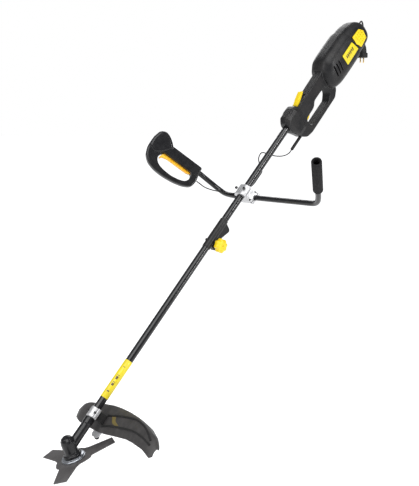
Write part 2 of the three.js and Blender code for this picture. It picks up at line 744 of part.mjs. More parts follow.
const LEAD_R = 2.9;
const CABLE_R = 1.9;
const CABLE_END_X = 257.7;

// Control cable: out of the rear handle, round the tube, past the clamp and along the right bar.
const CABLE_ROUTE = [
  [CABLE_END_X, 0, -70], [240, 1, -70], [220, 8, -62], [200, 17, -42], [184, 23, -16], [170, 23, 8],
  [155, 17, 19], [142, 18, 16], [133, 21, 3], [126, 17, -11], [115, 8, -18], [104, 3, -19.5], [90, 3, -19.5],
  [75, 3, -19.5], [60, 3, -19.5], [42, 7, -19], [32, 18, -12], [22, 30, -5], [8, 38, -7], [2, 54, -13],
  [0, 78, -13.5], [-1, 104, -11.5], [-3, 126, -5], [-9, 148, 8], [-14, 167, 27], [-14, 176, 42],
  [-14, 184, 56.2],
];

// Mains lead: a short tail from the back of the motor, in the upright frame.
const LEAD_EXIT = [829, 12, -16];
const LEAD_ROUTE = [
  [587.9, 12, 585.7], [594, 12.3, 592], [602, 14.4, 598.2], [612, 18, 603.4], [622, 22, 603.6],
  [631, 26, 599], [637.5, 29, 590], [640.5, 31, 579], [641, 32, 566],
];
const PLUG_TOP = [641, 32, 565.6];

function plugParts(group) {
  const relief = turnedZ([[-34, 0], [-34, 7], [0, 4.6], [0, 0]], 16);
  add(group, 'plug_relief', relief, 'rubber');
  const flange = outline([
    [-17, -13], [-13, -17], [13, -17], [17, -13], [17, 13], [13, 17], [-13, 17], [-17, 13],
  ]);
  const body = joined(
    slabZ(flange, [-92, -72]),
    turnedZ([[-76, 0], [-76, 17], [-60, 16], [-44, 12], [-34.4, 9], [-34.4, 0]], 20),
  );
  const pins = [-1, 1].map((side) => rodZ([-111, -90], 2.4, 10).translate(side * 9.5, 0, 0));
  add(group, 'mains_plug', pins.reduce((left, pin) => left.add(solid(pin)), body), 'rubber');
}

function buildCables(tool) {
  const relief = rodX([258, 331], 5.5, 12);
  relief.translate(0, 0, -70);
  add(tool, 'cable_relief', relief, 'rubber');
  add(tool, 'control_cable', alongPath(CABLE_ROUTE, CABLE_R, 8, 56), 'rubber');
  const gland = turnedX([[803, 0], [803, 6], [810, 6], [829.2, 5], [829.2, 0]], 16);
  gland.translate(0, LEAD_EXIT[1], LEAD_EXIT[2]);
  add(tool, 'lead_gland', gland, 'rubber');
}

function buildLead(root) {
  add(root, 'mains_lead', alongPath(LEAD_ROUTE, LEAD_R, 8, 12), 'rubber');
  const plug = frame(root, PLUG_TOP, 'z', 0);
  plugParts(plug);
}

// ---- assembly ---------------------------------------------------------------

const brushCutter = new THREE.Group();
const tool = frame(brushCutter, [0, 0, 0], 'y', -TUBE_TILT);
buildMotor(tool);
buildTriggers(tool);
buildTube(tool);
buildCoupler(tool);
buildClamp(tool);
buildBars(tool);
buildControlGrip(tool);
const lower = frame(tool, [0, 0, 0], 'x', HEAD_ROLL);
buildGearHead(lower);
buildPinion(lower);
buildGuard(lower);
buildGuardClamp(lower);
buildCables(tool);
buildLead(brushCutter);

export default brushCutter;
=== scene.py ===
import json
import math

import bmesh
import bpy
from mathutils import Matrix, Vector


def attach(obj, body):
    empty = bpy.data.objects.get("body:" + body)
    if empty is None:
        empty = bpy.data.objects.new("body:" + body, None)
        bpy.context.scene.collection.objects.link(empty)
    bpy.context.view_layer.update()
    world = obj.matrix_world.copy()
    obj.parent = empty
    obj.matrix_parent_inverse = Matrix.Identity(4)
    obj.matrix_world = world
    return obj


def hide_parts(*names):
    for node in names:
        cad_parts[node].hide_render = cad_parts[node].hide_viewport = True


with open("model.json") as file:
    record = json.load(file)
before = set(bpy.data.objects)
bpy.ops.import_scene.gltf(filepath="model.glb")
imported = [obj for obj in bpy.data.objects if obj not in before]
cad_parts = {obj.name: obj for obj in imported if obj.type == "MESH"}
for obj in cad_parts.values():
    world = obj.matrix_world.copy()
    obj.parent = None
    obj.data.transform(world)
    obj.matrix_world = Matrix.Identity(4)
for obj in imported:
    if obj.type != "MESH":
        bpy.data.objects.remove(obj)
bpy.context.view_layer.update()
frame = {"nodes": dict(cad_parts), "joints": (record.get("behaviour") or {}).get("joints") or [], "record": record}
NODES = frame["nodes"]
JOINTS = {joint["name"]: joint for joint in frame["joints"]}
MM = 0.001
BODY = "tool_body"

# ---- local frames, from the joints' axes ---------------------------------


def basis(origin, x, y, z):
    """Millimetres along x, y and z from origin, to metres in the row frame."""
    turn = Matrix((x, y, z)).transposed().to_4x4()
    return Matrix.Translation(origin) @ turn @ Matrix.Scale(MM, 4)


def axis_of(joint):
    return Vector(JOINTS[joint]["axis"]).normalized()


ALONG = axis_of("motor_spin")
ACROSS = Vector((0, 1, 0))
TOOL = basis((0, 0, 0), ALONG, ACROSS, ALONG.cross(ACROSS))

SPIN = axis_of("blade_spin")
SPIN_IN_TOOL = TOOL.to_3x3().inverted() @ SPIN
HEAD_ROLL = math.atan2(-SPIN_IN_TOOL.y, SPIN_IN_TOOL.z)
LOWER = TOOL @ Matrix.Rotation(HEAD_ROLL, 4, "X")
HEAD_SIDE = (LOWER.to_3x3() @ Vector((0, 1, 0))).normalized()
SPINDLE = basis(JOINTS["blade_spin"]["pos_m"], HEAD_SIDE.cross(SPIN), HEAD_SIDE, SPIN)
GUARD = LOWER @ Matrix.Translation((-871, 0, -45))

LEVER_PIN = axis_of("grip_lever_squeeze")
GRIP_UP = ALONG.cross(LEVER_PIN)
LEVER_PIVOT = Vector(JOINTS["grip_lever_squeeze"]["pos_m"])
RIGHT_GRIP = basis(LEVER_PIVOT - (GRIP_UP * 23 - ALONG * 21) * MM, ALONG, LEVER_PIN, GRIP_UP)
LEFT_UP = Vector((GRIP_UP.x, -GRIP_UP.y, GRIP_UP.z))
LEFT_GRIP = basis(TOOL @ Vector((0, -355, 42)), ALONG, LEFT_UP.cross(ALONG), LEFT_UP)

TO_X = Matrix.Rotation(math.pi / 2, 4, "Y")
TO_Y = Matrix.Rotation(-math.pi / 2, 4, "X")

# ---- camera, stage and light ----------------------------------------------

CAMERA_AT = Vector((-1.821, -1.9415, 0.2166))
CAMERA_TURN = math.radians(40.73)
CAMERA_RISE = math.radians(8.3)
LENS = 59.26


def look_along(obj, direction):
    obj.rotation_euler = Vector(direction).to_track_quat("-Z", "Y").to_euler()


def add_camera():
    data = bpy.data.cameras.new("camera")
    data.lens = LENS
    data.clip_end = 200
    camera = bpy.data.objects.new("camera", data)
    camera.location = CAMERA_AT
    level = math.cos(CAMERA_RISE)
    look_along(camera, (math.sin(CAMERA_TURN) * level, math.cos(CAMERA_TURN) * level, -math.sin(CAMERA_RISE)))
    bpy.context.scene.collection.objects.link(camera)
    bpy.context.scene.camera = camera


def add_light(name, place, target, size, power):
    data = bpy.data.lights.new(name, "AREA")
    data.shape = "RECTANGLE"
    data.size, data.size_y = size
    data.energy = power
    light = bpy.data.objects.new(name, data)
    light.location = place
    look_along(light, Vector(target) - Vector(place))
    bpy.context.scene.collection.objects.link(light)


def add_lights():
    sun = bpy.data.lights.new("key", "SUN")
    sun.energy = 2.3
    sun.angle = math.radians(50)
    key = bpy.data.objects.new("key", sun)
    look_along(key, (0.55, 0.5, -1.0))
    bpy.context.scene.collection.objects.link(key)
    add_light("soft_left", (-3.4, 0.4, 1.6), (0, 0, 0), (1.2, 2.4), 38)
    add_light("strip", (0.9, -2.9, 1.0), (-0.1, 0, -0.1), (0.16, 2.6), 55)
    add_light("back", (1.8, 2.6, 2.2), (0, 0, 0), (2.0, 2.0), 40)


def add_world():
    world = bpy.data.worlds.new("studio")
    bpy.context.scene.world = world
    world.use_nodes = True
    nodes, links = world.node_tree.nodes, world.node_tree.links
    soft = nodes["Background"]
    soft.inputs["Color"].default_value = (0.95, 0.97, 1.0, 1)
    soft.inputs["Strength"].default_value = 0.3
    white = nodes.new("ShaderNodeBackground")
    white.inputs["Color"].default_value = (1, 1, 1, 1)
    white.inputs["Strength"].default_value = 1.0
    path = nodes.new("ShaderNodeLightPath")
    mix = nodes.new("ShaderNodeMixShader")
    links.new(path.outputs["Is Camera Ray"], mix.inputs[0])
    links.new(soft.outputs[0], mix.inputs[1])
    links.new(white.outputs[0], mix.inputs[2])
    links.new(mix.outputs[0], nodes["World Output"].inputs["Surface"])


# ---- mesh helpers ----------------------------------------------------------


def link_mesh(name, mesh):
    obj = bpy.data.objects.new(name, mesh)
    bpy.context.scene.collection.objects.link(obj)
    return obj


def from_bmesh(name, bm):
    bmesh.ops.remove_doubles(bm, verts=bm.verts, dist=1e-4)
    bmesh.ops.recalc_face_normals(bm, faces=bm.faces)
    mesh = bpy.data.meshes.new(name)
    bm.to_mesh(mesh)
    bm.free()
    return link_mesh(name, mesh)


def from_faces(name, points, faces):
    bm = bmesh.new()
    verts = [bm.verts.new(p) for p in points]
    for face in faces:
        bm.faces.new([verts[i] for i in face])
    return from_bmesh(name, bm)


def loft(name, rings, closed=True, ends=True):
    """Skin over rings of the same number of points."""
    count = len(rings[0])
    points = [p for ring in rings for p in ring]
    span = count if closed else count - 1
    faces = []
    for k in range(len(rings) - 1):
        for i in range(span):
            a, b = k * count + i, k * count + (i + 1) % count
            faces.append((a, b, b + count, a + count))
    if ends:
        faces.append(tuple(range(count)))
        faces.append(tuple(range(len(points) - count, len(points))))
    return from_faces(name, points, faces)


def lathe(name, profile, steps=48):
    """Turned about Z, from (z, radius) pairs that run from end to end."""
    rings = []
    for z, r in profile:
        turn = [2 * math.pi * i / steps for i in range(steps)]
        rings.append([(max(r, 1e-5) * math.cos(t), max(r, 1e-5) * math.sin(t), z) for t in turn])
    closed_profile = profile[0] == profile[-1]
    return loft(name, rings, ends=not closed_profile)


def fillet(points, radius, steps=4):
    """A closed outline with its corners rounded."""
    out = []
    for i, here in enumerate(points):
        here = Vector(here)
        sides = [Vector(points[i - 1]) - here, Vector(points[(i + 1) % len(points)]) - here]
        start, end = (here + s.normalized() * min(radius, 0.45 * s.length) for s in sides)
        for k in range(steps + 1):
            t = k / steps
            out.append(tuple(start * (1 - t) ** 2 + here * 2 * t * (1 - t) + end * t * t))
    return out


def prism(name, outline, low, high, axis="Y"):
    """An outline pulled along an axis. Its points are (x, z) for Y, (x, y) for Z and (y, z) for X."""
    order = {"Y": lambda p, d: (p[0], d, p[1]), "Z": lambda p, d: (*p, d), "X": lambda p, d: (d, *p)}[axis]
    return loft(name, [[order(p, d) for p in outline] for d in (low, high)])


def hull(name, points):
    bm = bmesh.new()
    for p in points:
        bm.verts.new(p)
    bmesh.ops.convex_hull(bm, input=bm.verts)
    bmesh.ops.dissolve_limit(bm, angle_limit=0.02, verts=bm.verts, edges=bm.edges)
    return from_bmesh(name, bm)


def curve_through(points, per_span=8):
    """Points on a smooth curve through the given ones."""
    p = [Vector(q) for q in points]
    p = [2 * p[0] - p[1], *p, 2 * p[-1] - p[-2]]
    out = []
    for i in range(1, len(p) - 2):
        a, b, c, d = p[i - 1], p[i], p[i + 1], p[i + 2]
        for k in range(per_span):
            t = k / per_span
            out.append(0.5 * (2 * b + (c - a) * t + (2 * a - 5 * b + 4 * c - d) * t ** 2
                              + (3 * b - a - 3 * c + d) * t ** 3))
    return [*out, p[-2]]


def sweep(name, path, section):
    """A section of (side, up) points carried along a path without twisting."""
    path = [Vector(p) for p in path]
    rings = []
    up = None
    for i, here in enumerate(path):
        ahead = (path[min(i + 1, len(path) - 1)] - path[max(i - 1, 0)]).normalized()
        if up is None:
            up = Vector((0, 1, 0)) if abs(ahead.y) < 0.9 else Vector((1, 0, 0))
        up = (up - ahead * up.dot(ahead)).normalized()
        side = ahead.cross(up)
        scale = section(i / (len(path) - 1)) if callable(section) else section
        rings.append([here + side * a + up * b for a, b in scale])
    return loft(name, rings)


def circle(radius, sides=20):
    turn = [2 * math.pi * i / sides for i in range(sides)]
    return [(radius * math.cos(t), radius * math.sin(t)) for t in turn]


def moved(obj, matrix):
    obj.data.transform(matrix)
    if matrix.determinant() < 0:
        obj.data.flip_normals()
    return obj


def shifted(obj, x=0, y=0, z=0):
    return moved(obj, Matrix.Translation((x, y, z)))


def apply_modifiers(obj):
    graph = bpy.context.evaluated_depsgraph_get()
    mesh = bpy.data.meshes.new_from_object(obj.evaluated_get(graph))
    old = obj.data
    obj.modifiers.clear()
    obj.data = mesh
    bpy.data.meshes.remove(old)
    return obj


def discard(obj):
    mesh = obj.data
    bpy.data.objects.remove(obj)
    bpy.data.meshes.remove(mesh)


def bevel(obj, width, segments=3, angle=28):
    modifier = obj.modifiers.new("bevel", "BEVEL")
    modifier.width = width
    modifier.segments = segments
    modifier.limit_method = "ANGLE"
    modifier.angle_limit = math.radians(angle)
    return apply_modifiers(obj)


def cut(obj, *tools, operation="DIFFERENCE"):
    for tool in tools:
        modifier = obj.modifiers.new("cut", "BOOLEAN")
        modifier.object = tool
        modifier.operation = operation
        modifier.solver = "EXACT"
        apply_modifiers(obj)
        discard(tool)
    return obj


def merged(name, *objs):
    """Several meshes in one object, overlapping as they are."""
    bm = bmesh.new()
    for obj in objs:
        bm.from_mesh(obj.data)
        discard(obj)
    mesh = bpy.data.meshes.new(name)
    bm.to_mesh(mesh)
    bm.free()
    return link_mesh(name, mesh)


def moulded(obj, voxel, smoothing):
    """One continuous skin over overlapping shapes, with its edges softened."""
    remesh = obj.modifiers.new("skin", "REMESH")
    remesh.mode = "VOXEL"
    remesh.voxel_size = voxel
    soft = obj.modifiers.new("soft", "SMOOTH")
    soft.factor = 0.5
    soft.iterations = smoothing
    return apply_modifiers(obj)


def half_of(obj, name, side, gap=0.2):
    """A copy of the part of a body on one side of Y = 0."""
    half = link_mesh(name, obj.data.copy())
    reach = 2000
    low, high = (gap, reach) if side > 0 else (-reach, -gap)
    room = prism("room", [(-reach, -reach), (reach, -reach), (reach, reach), (-reach, reach)], low, high)
    return cut(half, room, operation="INTERSECT")


def shade(obj, angle):
    obj.data.polygons.foreach_set("use_smooth", [True] * len(obj.data.polygons))
    obj.data.set_sharp_from_angle(angle=math.radians(angle))


def piece(obj, place, material, stands_for=(), body=BODY, angle=40):
    moved(obj, place)
    obj.data.materials.clear()
    obj.data.materials.append(material)
    shade(obj, angle)
    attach(obj, body)
    if stands_for:
        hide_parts(*stands_for)
    return obj


# ---- materials -------------------------------------------------------------


class Look:
    """A Principled material whose detail is given in millimetres of the real surface."""

    def __init__(self, name, colour, roughness, metallic=0.0):
        self.material = bpy.data.materials.new(name)
        self.material.use_nodes = True
        self.nodes = self.material.node_tree.nodes
        self.links = self.material.node_tree.links
        self.shader = self.nodes["Principled BSDF"]
        self.colour = self.flat(colour)
        self.shader.inputs["Metallic"].default_value = metallic
        self.shader.inputs["Roughness"].default_value = roughness
        self.place = self.nodes.new("ShaderNodeTexCoord").outputs["Object"]
        self.bump = None

    def flat(self, colour):
        node = self.nodes.new("ShaderNodeRGB")
        node.outputs[0].default_value = (*colour, 1)
        return node.outputs[0]

    def set(self, socket, value):
        self.shader.inputs[socket].default_value = value
        return self

    def noise(self, size_mm, detail=3.0, stretch=None):
        """A value from 0 to 1 that varies over about size_mm, pulled out along a direction if one is given."""
        place = self.place
        if stretch is not None:
            node = self.nodes.new("ShaderNodeMapping")
            node.vector_type = "TEXTURE"
            node.inputs["Rotation"].default_value = stretch[0].to_track_quat("X", "Z").to_euler()
            node.inputs["Scale"].default_value = (stretch[1], 1, 1)
            self.links.new(place, node.inputs[0])
            place = node.outputs[0]
        node = self.nodes.new("ShaderNodeTexNoise")
        node.inputs["Scale"].default_value = 1 / (size_mm * MM)
        node.inputs["Detail"].default_value = detail
        self.links.new(place, node.inputs["Vector"])
        return node.outputs["Fac"]

    def cells(self, size_mm):
        node = self.nodes.new("ShaderNodeTexVoronoi")
        node.inputs["Scale"].default_value = 1 / (size_mm * MM)
        self.links.new(self.place, node.inputs["Vector"])
        return node.outputs["Distance"]

    def edges(self, low=0.5, high=0.6):
        node = self.nodes.new("ShaderNodeNewGeometry")
        return self.spread(node.outputs["Pointiness"], low, high, 0, 1)

    def spread(self, value, low, high, to_low, to_high):
        node = self.nodes.new("ShaderNodeMapRange")
        for name, number in (("From Min", low), ("From Max", high), ("To Min", to_low), ("To Max", to_high)):
            node.inputs[name].default_value = number
        self.links.new(value, node.inputs["Value"])
        return node.outputs[0]

    def tint(self, value, colour, low=0.4, high=0.7, amount=1.0):
        """Colours the surface where value is high."""
        node = self.nodes.new("ShaderNodeMix")
        node.data_type = "RGBA"
        self.links.new(self.spread(value, low, high, 0, amount), node.inputs["Factor"])
        self.links.new(self.colour, node.inputs["A"])
        node.inputs["B"].default_value = (*colour, 1)
        self.colour = node.outputs["Result"]
        return self

    def rough(self, value, low, high, share=(0.3, 0.7)):
        self.links.new(self.spread(value, *share, low, high), self.shader.inputs["Roughness"])
        return self

    def raised(self, value, height_mm, strength=1.0):
        node = self.nodes.new("ShaderNodeBump")
        node.inputs["Strength"].default_value = strength
        node.inputs["Distance"].default_value = height_mm * MM
        self.links.new(value, node.inputs["Height"])
        if self.bump is not None:
            self.links.new(self.bump, node.inputs["Normal"])
        self.bump = node.outputs[0]
        return self

    def done(self):
        self.links.new(self.colour, self.shader.inputs["Base Color"])
        if self.bump is not None:
            self.links.new(self.bump, self.shader.inputs["Normal"])
        return self.material


def make_looks():
    """Every material, by name."""
    looks = {}

    shell = Look("moulded_black", (0.007, 0.007, 0.008), 0.4)
    shell.tint(shell.noise(30), (0.017, 0.016, 0.016), 0.35, 0.7)
    shell.rough(shell.noise(9), 0.34, 0.46).raised(shell.noise(1.4), 0.006)
    shell.set("Specular IOR Level", 0.26)
    looks["shell"] = shell.done()

    gloss = Look("gloss_black", (0.006, 0.006, 0.007), 0.18)
    gloss.tint(gloss.noise(25), (0.012, 0.012, 0.013), 0.35, 0.7)
    gloss.rough(gloss.noise(6), 0.16, 0.26).raised(gloss.noise(4), 0.006)
    gloss.set("Specular IOR Level", 0.32)
    looks["gloss"] = gloss.done()

    tube = Look("tube_paint", (0.006, 0.006, 0.007), 0.14)
    tube.tint(tube.noise(12, stretch=(ALONG, 20)), (0.012, 0.012, 0.013), 0.4, 0.7)
    tube.rough(tube.noise(5, stretch=(ALONG, 12)), 0.13, 0.2).raised(tube.noise(9), 0.004)
    tube.set("Specular IOR Level", 0.3).set("Coat Weight", 0.2).set("Coat Roughness", 0.1)
    looks["tube"] = tube.done()

    yellow = Look("yellow_moulding", (0.7, 0.49, 0.004), 0.38)
    yellow.tint(yellow.noise(12), (0.76, 0.57, 0.008), 0.35, 0.7)
    yellow.rough(yellow.noise(4), 0.3, 0.46).raised(yellow.noise(0.6), 0.03)
    looks["yellow"] = yellow.done()

    lever = Look("lever_yellow", (0.88, 0.42, 0.01), 0.3)
    lever.tint(lever.noise(10), (0.95, 0.56, 0.04), 0.4, 0.7)
    lever.rough(lever.noise(4), 0.22, 0.36).raised(lever.noise(0.8), 0.02)
    looks["lever"] = lever.done()

    film = Look("yellow_film", (0.66, 0.54, 0.006), 0.33)
    film.tint(film.noise(14), (0.58, 0.46, 0.02), 0.4, 0.75)
    film.rough(film.noise(3), 0.26, 0.4).raised(film.noise(1.2), 0.01)
    looks["film"] = film.done()

    ink = Look("label_ink", (0.05, 0.03, 0.01), 0.4)
    ink.tint(ink.noise(0.8), (0.2, 0.14, 0.02), 0.5, 0.75)
    looks["ink"] = ink.done()

    cast = Look("cast_aluminium", (0.52, 0.52, 0.53), 0.42, 0.75)
    cast.tint(cast.noise(3.2), (0.3, 0.3, 0.3), 0.45, 0.75, 0.8)
    cast.tint(cast.edges(), (0.75, 0.75, 0.76), 0, 1, 0.6)
    cast.rough(cast.noise(2.0), 0.34, 0.6).raised(cast.noise(1.6), 0.12).raised(cast.cells(1.1), 0.04)
    looks["cast"] = cast.done()

    steel = Look("bright_steel", (0.5, 0.52, 0.55), 0.28, 1.0)
    steel.tint(steel.noise(7), (0.38, 0.4, 0.43), 0.4, 0.7)
    steel.rough(steel.noise(0.9), 0.2, 0.38).raised(steel.noise(0.4), 0.012)
    looks["steel"] = steel.done()

    dark = Look("black_oxide", (0.012, 0.012, 0.013), 0.4, 0.6)
    dark.tint(dark.edges(), (0.12, 0.12, 0.12), 0, 1, 0.6)
    dark.rough(dark.noise(1.0), 0.3, 0.5).raised(dark.noise(0.5), 0.02)
    looks["dark"] = dark.done()

    blade = Look("blade_steel", (0.085, 0.079, 0.078), 0.5, 0.55)
    blade.tint(blade.noise(1.4, 5), (0.13, 0.122, 0.118), 0.4, 0.75)
    blade.tint(blade.noise(20), (0.055, 0.052, 0.052), 0.5, 0.8, 0.7)
    blade.tint(blade.edges(0.52, 0.6), (0.35, 0.35, 0.36), 0, 1, 0.5)
    blade.rough(blade.noise(1.8), 0.42, 0.62).raised(blade.noise(0.6), 0.03)
    looks["blade"] = blade.done()

    foam = Look("grip_foam", (0.014, 0.014, 0.015), 0.9)
    foam.tint(foam.noise(5), (0.026, 0.025, 0.025), 0.4, 0.7)
    foam.raised(foam.cells(0.9), 0.1, 0.7).raised(foam.noise(2.5), 0.05)
    foam.set("Specular IOR Level", 0.12)
    looks["foam"] = foam.done()

    guard = Look("guard_plastic", (0.036, 0.034, 0.034), 0.42)
    guard.tint(guard.noise(22), (0.056, 0.053, 0.052), 0.35, 0.7)
    guard.tint(guard.noise(2.2, 5), (0.024, 0.023, 0.023), 0.5, 0.8, 0.6)
    guard.rough(guard.noise(5), 0.34, 0.52).raised(guard.noise(1.6), 0.012)
    guard.set("Specular IOR Level", 0.3)
    looks["guard"] = guard.done()

    rubber = Look("black_rubber", (0.012, 0.012, 0.012), 0.6)
    rubber.tint(rubber.noise(4), (0.024, 0.023, 0.023), 0.4, 0.7)
    rubber.rough(rubber.noise(2), 0.5, 0.7).raised(rubber.noise(0.8), 0.01)
    rubber.set("Specular IOR Level", 0.2)
    looks["rubber"] = rubber.done()

    marker = Look("dull_marker", (0.16, 0.12, 0.03), 0.5)
    marker.tint(marker.noise(3), (0.1, 0.08, 0.03), 0.4, 0.7).raised(marker.noise(0.8), 0.03)
    looks["marker"] = marker.done()

    copper = Look("windings", (0.45, 0.2, 0.09), 0.35, 0.9)
    copper.tint(copper.noise(1.5), (0.3, 0.13, 0.06), 0.4, 0.7).raised(copper.noise(0.8), 0.1)
    looks["copper"] = copper.done()

    brass = Look("brass", (0.65, 0.45, 0.16), 0.3, 1.0)
    brass.tint(brass.noise(3), (0.5, 0.34, 0.12), 0.4, 0.7).raised(brass.noise(0.6), 0.02)
    looks["brass"] = brass.done()
    return looks


LOOKS = make_looks()
SLOT_LOOKS = {
    "shell": "shell", "accent": "yellow", "label": "film", "bright_steel": "steel", "windings": "copper",
    "fan_plastic": "shell", "tube_paint": "tube", "bush_brass": "brass", "coupler_plastic": "shell",
    "cast_alloy": "cast", "foam": "foam", "gloss_black": "gloss", "gear_paint": "gloss",
    "blade_steel": "blade", "guard_plastic": "guard", "black_rubber": "rubber",
}


def dress_nodes():
    """Gives every CAD node the look of its material slot."""
    for row in frame["record"]["subparts"]:
        obj = NODES[row["node"]]
        obj.data.materials.clear()
        obj.data.materials.append(LOOKS[SLOT_LOOKS[row["material_slot"]]])


# ---- mains lead --------------------------------------------------------------

LEAD_R = 2.9
LEAD_ROUTE = [
    (587.9, 12, 585.7), (594, 12.3, 592), (602, 14.4, 598.2), (612, 18, 603.4), (622, 22, 603.6), (631, 26, 599),
    (637.5, 29, 590), (640.5, 31, 579), (641, 32, 566),
]
ROW_MM = Matrix.Scale(MM, 4)
PLUG_TOP = Matrix.Translation(Vector((641, 32, 565.6)) * MM) @ ROW_MM


def build_lead():
    path = curve_through(LEAD_ROUTE, 6)
    lead = sweep("lead", path, circle(LEAD_R, 16))
    piece(lead, ROW_MM, LOOKS["rubber"], ["mains_lead"])
    relief = lathe("lead_relief", [(-34, 0), (-34, 7), *relief_ribs(-31, 9, 2.8), (0, 4.0), (0, 0)], 24)
    piece(relief, PLUG_TOP, LOOKS["rubber"], ["plug_relief"], angle=50)
    plug = build_plug()


def relief_ribs(start, count, pitch):
    """Rings of a strain relief that tapers as it leaves the housing."""
    rows = []
    for i in range(count):
        z = start + i * pitch
        r = 6.6 - 2.2 * i / count
        rows += [(z, r), (z + 0.5 * pitch, r), (z + 0.55 * pitch, r - 1.1), (z + 0.95 * pitch, r - 1.1)]
    return rows


def build_plug():
    flange = prism("plug_flange", fillet([(-17, -17), (17, -17), (17, 17), (-17, 17)], 8), -92, -74, "Z")
    bevel(flange, 1.6)
    waist = lathe("plug_body", [(-78, 0), (-78, 16.5), (-66, 16.4), (-54, 14.5), (-44, 11), (-34.4, 9.4), (-34.4, 0)])
    body = moulded(merged("plug_body", flange, waist), 0.9, 3)
    piece(body, PLUG_TOP, LOOKS["rubber"], ["mains_plug"])
    pins = []
    for side in (-1, 1):
        pin = lathe("plug_pin", [(-111, 0), (-111, 1.2), (-109.8, 2.3), (-90, 2.3), (-90, 0)], 24)
        pin.name = "plug_pin_" + ("a" if side < 0 else "b")
        pins.append(piece(shifted(pin, x=9.5 * side), PLUG_TOP, LOOKS["brass"]))
    return [body, *pins]


# ---- motor and rear handle ---------------------------------------------------

HOUSING_FACETS = [(0.44, 1.0), (0.82, 0.74), (1.0, 0.32), (1.0, -0.42), (0.86, -0.76), (0.5, -1.0)]
HOUSING_SECTIONS = [
    (530, -20, 26, 22), (535, -19, 34, 31), (546, -14, 45, 45), (560, -11, 50.5, 52), (576, -8, 54, 58),
    (600, -7, 55.4, 60.4), (640, -7, 55.8, 60.8), (690, -7, 55.8, 60.4), (711.8, -7, 55, 59),
]
CAP_SECTIONS = [
    (712.2, -7, 52.4, 55.4), (716, -7, 52.6, 55.6), (745, -8, 52, 54), (770, -10, 50, 50.6), (788, -12, 46.4, 46),
    (800, -14, 40.5, 39), (808.6, -15, 33, 31), (814, -16, 25, 22),
]


def housing_ring(x, z, half_width, half_height):
    right = [(half_width * a, half_height * b) for a, b in HOUSING_FACETS]
    left = [(-y, h) for y, h in reversed(right)]
    return [(x, y, z + h) for y, h in fillet(right + left, 11, 5)]


def build_motor():
    housing = loft("housing", [housing_ring(*s) for s in curve_through(HOUSING_SECTIONS, 4)])
    cut(housing, *[side_slot(566 + 15 * i, side) for side in (-1, 1) for i in range(3)])
    handle = [cut(shape, finger_loop(), trigger_mouth(), lever_mouth()) for shape in handle_shapes()]
    body = moulded(merged("rear_body", housing, *handle), 1.2, 8)
    bore = lathe("tube_mouth", [(0, 0), (0, 12.2), (114, 12.2), (114, 0)])
    cut(body, moved(bore, Matrix.Translation((280, 0, 0)) @ TO_X))
    for name, side in (("shell_left", -1), ("shell_right", 1)):
        piece(half_of(body, name, side), TOOL, LOOKS["shell"], ["body_" + name])
    discard(body)
    build_cap()
    build_plates()


def side_slot(x, side):
    low, high, lean = Vector((x, -24)), Vector((x + 7, 17)), Vector((2.3, 0))
    slot = prism("slot", fillet([low - lean, low + lean, high + lean, high - lean], 2), 44, 70)
    return slot if side > 0 else moved(slot, Matrix.Scale(-1, 4, (0, 1, 0)))


def handle_shapes():
    outline = [(290, 4), (298, 28), (330, 39), (362, 37), (372, 22), (436, 22), (530, 25), (566, 30), (570, -46),
               (556, -74), (532, -91), (362, -92), (332, -85), (314, -66), (296, -20)]
    frame_body = bevel(prism("frame_body", fillet(outline, 7), -18, 18), 7, 4)
    nose = hull("nose", [
        *mirrored([(289, 12, 25), (289, 19, 10), (289, 19, -12), (290, 11, -22)]),
        *mirrored([(304, 14, 38), (304, 23, 20), (310, 23, -46), (316, 14, -66)]),
        *mirrored([(350, 14, 39), (352, 23, 22), (346, 22, -44), (342, 14, -68)]),
        *mirrored([(371, 12, 24), (376, 18, 8), (364, 15, -40), (356, 12, -60)]),
    ])
    return [frame_body, bevel(nose, 2.5, 2)]


def mirrored(points):
    return [(x, side * y, z) for x, y, z in points for side in (-1, 1)]


def finger_loop():
    return prism("loop", fillet([(369, -62), (378, -74.5), (500, -75), (522, -57), (528, -34), (515, -22), (446, -21),
                                 (430, -33), (420, -36), (378, -37), (369, -46)], 6), -40, 40)


def trigger_mouth():
    return prism("trigger_mouth", [(370, -56), (431, -56), (431, -17), (370, -17)], -8.6, 8.6)


def lever_mouth():
    return prism("lever_mouth", [(370, 18), (434, 18), (434, 60), (370, 60)], -9.6, 9.6)


def build_cap():
    cap = loft("motor_cap", [housing_ring(*s) for s in curve_through(CAP_SECTIONS, 5)])
    for side in (-1, 1):
        pocket = prism("pocket", fillet(vent_outline(1.6), 2), 50.4, 60)
        cut(cap, pocket if side > 0 else moved(pocket, Matrix.Scale(-1, 4, (0, 1, 0))))
    piece(cap, TOOL, LOOKS["shell"], ["rear_cap"])
    gland = lathe("lead_gland_boot", [(800, 0), (800, 8), (812, 8), (814, 6.8), (822, 6.2), (829.2, 5), (829.2, 3.4)], 32)
    moved(gland, Matrix.Translation((0, 12, -16)) @ TO_X)
    piece(gland, TOOL, LOOKS["rubber"], ["lead_gland"])


def vent_outline(grow=0.0):
    centre = Vector((743, -4))
    points = [(714, 24), (760, 22), (775, 2), (771, -27), (728, -33), (722, -20), (714, -8)]
    return [tuple(centre + (Vector(p) - centre) * (1 + grow / 30)) for p in points]


